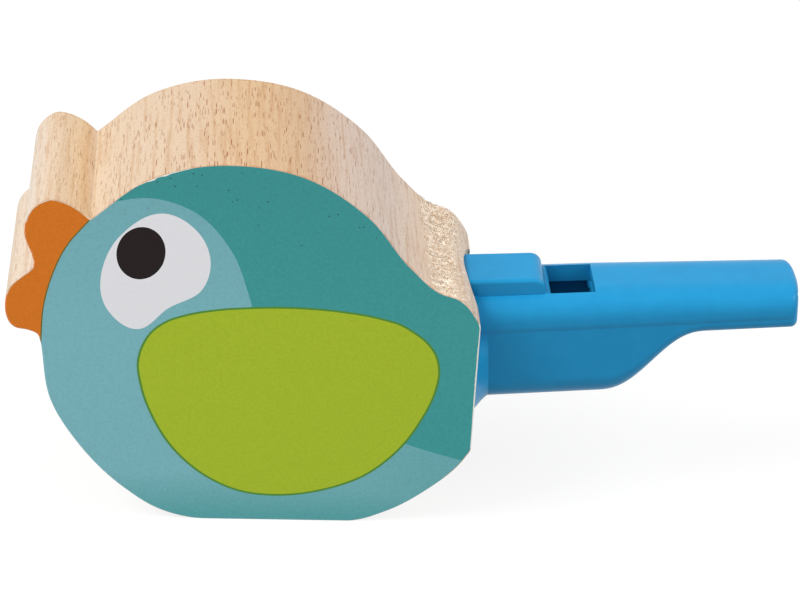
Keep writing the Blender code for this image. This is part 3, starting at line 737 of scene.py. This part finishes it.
def prism(name, corners, half, edge=0.0):
    # outline in the whistle's x-z plane carried across y, its rims drawn in by a quarter round
    line = np.array(corners, float)
    normal = outward(line)
    turn = np.linspace(0, math.pi / 2, 11) if edge else np.array([0.0])
    rounds = [(half - edge * (1 - math.sin(t)), edge * (1 - math.cos(t))) for t in turn]
    rings = []
    for y, inset in [(-y, inset) for y, inset in rounds[::-1]] + rounds:
        flat = line - inset * normal
        rings.append(np.stack([flat[:, 0], np.full(len(flat), y), flat[:, 1]], axis=1))
    return lofted(name, rings)


def applyBoolean(target, tool, operation):
    # the exact solver's result becomes the target's mesh, and the tool goes
    step = target.modifiers.new(operation.lower(), "BOOLEAN")
    step.operation = operation
    step.solver = "EXACT"
    step.object = tool
    bpy.context.view_layer.update()
    worked = target.evaluated_get(bpy.context.evaluated_depsgraph_get())
    mesh = bpy.data.meshes.new_from_object(worked)
    target.modifiers.clear()
    target.data = mesh
    bpy.data.objects.remove(tool, do_unlink=True)


plasticLooks = {
    "roughness": 0.26, "ior": 1.5, "specular": 0.11, "blue": "208EC2", "cloud": "E6EEF2",
    "cloudCells": 0.35, "cloudRange": (0.35, 0.62), "cloudShare": 0.35,      # clouds of 3 mm
    "rippleCells": 1.3, "rippleHeight": 0.012, "rippleStrength": 0.3,        # ripples of 0.8 mm
}


def plasticFinish():
    # Injection-moulded ABS: one even blue, semi-gloss from a polished mould, with
    # the slight ripple of shrinkage under the shine.
    looks = plasticLooks
    finish, tree, shader, place = newFinish("mouldedAbs", looks)
    clouds = addNode(tree, "TexNoise", {"Vector": place, "Scale": looks["cloudCells"],
                                        "Detail": 3.0, "Roughness": 0.6})
    start, end = looks["cloudRange"]
    shade = addNode(tree, "ValToRGB", {0: clouds}, stops=[(start, looks["cloud"]), (end, "FFFFFF")])
    tone = addNode(tree, "Mix", {0: looks["cloudShare"], 6: looks["blue"], 7: shade},
                   data_type="RGBA", blend_type="MULTIPLY")
    tree.links.new(tone.outputs[2], shader.inputs["Base Color"])
    ripple = addNode(tree, "TexNoise", {"Vector": place, "Scale": looks["rippleCells"], "Detail": 2.0})
    bump = addNode(tree, "Bump", {"Height": ripple, "Distance": looks["rippleHeight"] * mm,
                                  "Strength": looks["rippleStrength"]})
    tree.links.new(bump.outputs[0], shader.inputs["Normal"])
    return finish


def whistle():
    # Rings lofted from the wood to the mouthpiece, joined with the plug and the
    # raised block, then opened by the window, the hollows and the windway.
    shape = whistleShape
    lean = math.tan(rise)    # keeps an end square to the wood, whatever the barrel's rise
    gap = shape["gap"] / math.cos(rise)
    rings, count = [], shape["rings"]
    for t in np.linspace(0, 1, count["collar"]):     # it draws in to the barrel by (1 - t) ^ flarePower
        x = gap + (shape["flareLength"] - gap) * t
        rings.append(placed(x, outerRing(x, flare=(1 - t) ** shape["flarePower"]), lean * (1 - t)))
    rings += [placed(x, outerRing(x)) for x in np.linspace(*shape["curve"], count["sweep"])]
    tip = shape["length"] - shape["mouthRound"]
    for x in np.linspace(shape["curve"][1], tip, count["barrel"])[1:-1]:
        share = (x - shape["curve"][1]) / (tip - shape["curve"][1])
        rings.append(placed(x, outerRing(x), bulge=shape["mouthBulge"] * share))
    for turn in np.radians(np.linspace(0, 90, count["mouth"])):
        x = tip + shape["mouthRound"] * math.sin(turn)
        section = outerRing(x, shape["mouthRound"] * (1 - math.cos(turn)))
        rings.append(placed(x, section, bulge=shape["mouthBulge"]))
    body = lofted("whistlePlastic", rings)

    plug, over = shape["plug"], shape["over"]
    insert = rod("plug", plug["radius"], -plug["length"], plug["lip"], lean)
    step, crown, beyond = plug["step"], shape["crown"], 12       # the plug is cut flat over its last part
    flat = prism("step", [(-step, crown), (-step, beyond), (step, beyond), (step, crown)], beyond)
    applyBoolean(insert, flat, "DIFFERENCE")
    applyBoolean(body, insert, "UNION")

    hump, window = shape["hump"], shape["window"]
    noseEnd = window["start"] - window["gap"]
    foot = hump["height"] - hump["nose"]
    nose = [(noseEnd - hump["nose"] * (1 - math.cos(t)), foot + hump["nose"] * math.sin(t))
            for t in np.linspace(math.pi / 2, 0, count["nose"])]
    inner, base = -step - over, crown - 2 * over
    corners = [(inner, base), (inner, hump["height"] + hump["fall"])] + nose + [(noseEnd, base)]
    applyBoolean(body, prism("hump", corners, hump["half"], hump["edge"]), "UNION")

    end = window["start"] + window["length"]
    block = shape["ceiling"] - shape["blockWall"]
    rest = window["gap"] / 3
    lip = window["start"] + window["slope"]
    above = hump["height"] + over
    edgeX = window["start"] - rest
    corners = [(edgeX, crown + rest * window["drop"] / window["slope"]), (edgeX, above), (end, above),
               (end, block - over), (lip, block - over), (lip, crown - window["drop"])]
    applyBoolean(body, prism("window", corners, window["half"]), "DIFFERENCE")

    wall, ceiling, throat = shape["wall"], shape["ceiling"], shape["throatDepth"]
    plugEnd = -step - wall
    hair = 0.2               # run over which the hollow changes its height
    runs = [(plugEnd - over, ceiling, throat), (wall, ceiling, throat),
            (wall + hair, ceiling), (end - 2 * hair, ceiling)]
    runs += [(x, block) for x in np.linspace(end - hair, shape["chamberEnd"], count["chamber"])]
    chamber = lofted("chamber", [placed(run[0], innerRing(*run)) for run in runs])
    applyBoolean(body, chamber, "DIFFERENCE")
    hollow = rod("hollow", plug["radius"] - wall, -plug["length"] - over, plugEnd)
    applyBoolean(body, hollow, "DIFFERENCE")

    slots = []
    for x, (half, low, height) in zip((end - over, shape["length"] + 2 * over), shape["slot"]):
        slots.append([(x, half, low + height), (x, -half, low + height), (x, -half, low), (x, half, low)])
    applyBoolean(body, lofted("windway", slots), "DIFFERENCE")
    body.data.materials.clear()
    body.data.materials.append(plasticFinish())
    return body


def smoothed(piece, angle):
    # smooth but for edges sharper than the angle, the large faces kept flat
    piece.data.shade_smooth()
    piece.data.set_sharp_from_angle(angle=math.radians(angle))
    even = piece.modifiers.new("evenNormals", "WEIGHTED_NORMAL")
    even.keep_sharp = True


wood = birdBody()
applyBoolean(wood, boreCut(), "DIFFERENCE")
smoothed(wood, 40)
finishPiece(wood, "bird_body")
print("wood", len(wood.data.polygons))

fibres = tornFibres()
finishPiece(fibres)
print("torn fibres", len(fibres.data.polygons))

plastic = whistle()
smoothed(plastic, 11)
finishPiece(plastic, "whistle")
print("whistle", len(plastic.data.polygons))

stageLooks = {
    "camera": (-33.25, -399.0, 269.7), "azimuth": -4.67, "elevation": 30.59, "roll": 3.61,
    "lens": 130.8, "sensor": 36.0, "aim": (0, 0, 30),
    "key": {"place": (-495, -188, 562), "size": 420, "power": 4.6},
    "fill": {"place": (562, -150, 502), "size": 400, "power": 2.5},
    "ambient": 0.51,
    "floorHalf": 3.0, "floorRoughness": 0.9,     # in metres
    "floor": (0.42, 0.16), "floorGlow": 0.84,    # as light and as seen
    "floorRise": (0.15, 0.7, 1.0, 1.2),          # metres from and to, glow from and to
}


def addCamera():
    # its axes from its azimuth and elevation, then rolled about the line of sight
    azimuth, elevation, roll = (math.radians(stageLooks[key]) for key in ("azimuth", "elevation", "roll"))
    level = math.cos(elevation)
    back = Vector((math.sin(azimuth) * level, -math.cos(azimuth) * level, math.sin(elevation)))
    right = Vector((math.cos(azimuth), math.sin(azimuth), 0))
    up = right.cross(-back)
    turned = Matrix((math.cos(roll) * right + math.sin(roll) * up,
                     math.cos(roll) * up - math.sin(roll) * right, back)).transposed()
    data = bpy.data.cameras.new("camera")
    data.lens, data.sensor_width = stageLooks["lens"], stageLooks["sensor"]
    data.clip_start, data.clip_end = 0.01, 20.0
    camera = newObject("camera", data)
    camera.matrix_world = Matrix.Translation(Vector(stageLooks["camera"]) * mm) @ turned.to_4x4()
    scene.camera = camera


def addLamp(name):
    # a round softbox, turned to the object's middle
    lamp = stageLooks[name]
    data = bpy.data.lights.new(name, "AREA")
    data.shape, data.size, data.energy = "DISK", lamp["size"] * mm, lamp["power"]
    softbox = newObject(name, data)
    place = Vector(lamp["place"]) * mm
    softbox.location = place
    softbox.rotation_euler = (place - Vector(stageLooks["aim"]) * mm).to_track_quat("Z", "Y").to_euler()


def addSeen(tree):
    # 1 for what the camera, a reflection or glass sees, 0 for light
    path = addNode(tree, "LightPath")
    seen = path.outputs["Is Camera Ray"]
    for ray in ("Is Glossy Ray", "Is Transmission Ray"):
        seen = addNode(tree, "Math", {0: seen, 1: path.outputs[ray]}, operation="MAXIMUM")
    return seen


def addStage():
    # white where the camera, a reflection or glass sees the world, and its plain
    # level as light; the floor is bright enough to be white, with a soft shadow
    world = bpy.data.worlds.new("studio")
    scene.world = world
    world.use_nodes = True
    tree = world.node_tree
    seen = addSeen(tree)
    level = stageLooks["ambient"]
    light = addNode(tree, "Mix", {0: seen, 6: (level, level, level, 1), 7: (1, 1, 1, 1)}, data_type="RGBA")
    tree.links.new(light.outputs[2], tree.nodes["Background"].inputs["Color"])

    half = stageLooks["floorHalf"]
    corners = [(x * half, y * half, 0) for x, y in ((-1, -1), (1, -1), (1, 1), (-1, 1))]
    data = bpy.data.meshes.new("floor")
    data.from_pydata(corners, [], [(0, 1, 2, 3)])
    floor = newObject("floor", data)
    finish = bpy.data.materials.new("paleFloor")
    finish.use_nodes = True
    tree = finish.node_tree
    shader = tree.nodes["Principled BSDF"]
    (shade, shown), glow = stageLooks["floor"], stageLooks["floorGlow"]
    shader.inputs["Roughness"].default_value = stageLooks["floorRoughness"]
    shader.inputs["Specular IOR Level"].default_value = 0.0
    shader.inputs["Emission Color"].default_value = (glow, glow, glow, 1)
    seen = addSeen(tree)
    away = addNode(tree, "VectorMath", {0: addNode(tree, "TexCoord").outputs["Object"]}, operation="LENGTH")
    start, end, low, high = stageLooks["floorRise"]
    rising = addNode(tree, "MapRange", {0: away.outputs["Value"], 1: start, 2: end, 3: low, 4: high})
    strength = addNode(tree, "Math", {0: seen, 1: rising}, operation="MULTIPLY")
    tree.links.new(strength.outputs[0], shader.inputs["Emission Strength"])
    tone = addNode(tree, "Mix", {0: seen, 6: (shade, shade, shade, 1), 7: (shown, shown, shown, 1)},
                   data_type="RGBA")
    tree.links.new(tone.outputs[2], shader.inputs["Base Color"])
    data.materials.append(finish)


addCamera()
addLamp("key")
addLamp("fill")
addStage()
scene.view_settings.view_transform = "Standard"
print("camera and light")
